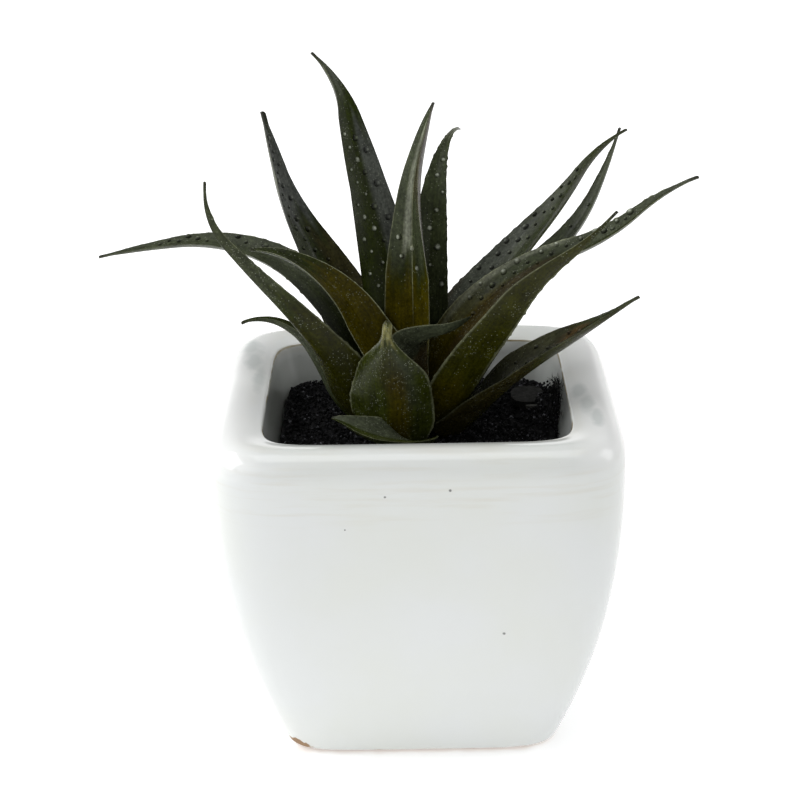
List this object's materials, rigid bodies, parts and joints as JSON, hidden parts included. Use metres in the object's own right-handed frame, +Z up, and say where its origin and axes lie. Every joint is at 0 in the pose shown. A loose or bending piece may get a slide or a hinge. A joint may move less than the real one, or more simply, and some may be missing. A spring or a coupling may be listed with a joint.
{
  "type": "potted haworthia",
  "caption": "Small imitation haworthia with arching pointed leaves in a square, rounded, white glazed ceramic pot filled with black grit.",
  "frame": {"origin": "middle of the pot's underside, on the surface it stands on", "axes": "+Z up, -Y towards the viewer of the picture, +X to the right in the picture"},
  "size_m": [0.1059, 0.0714, 0.1159],
  "materials": {
    "glaze": "high gloss off-white glaze with dark pinholes",
    "grit": "loose black sand and grit",
    "stem": "satin",
    "leaf": "satin dark olive green with pale edges and gold-brown bases"
  },
  "bodies": {
    "root": {"pot": "glaze", "soil": "grit", "stem": "stem", "leaf_tallest": "leaf", "leaf_centre": "leaf", "leaf_left_gold": "leaf", "leaf_curled": "leaf", "leaf_back_left": "leaf", "leaf_back_right": "leaf", "leaf_right_high": "leaf", "leaf_right_slim": "leaf", "leaf_right_long": "leaf", "leaf_left_long": "leaf", "leaf_left_hooked": "leaf", "leaf_front_right": "leaf", "leaf_left_small": "leaf", "leaf_right_low": "leaf", "leaf_front_short": "leaf", "leaf_front_lying": "leaf", "leaf_low_back": "leaf", "leaf_low_back_left": "leaf", "leaf_low_back_right": "leaf"}
  },
  "joints": []
}
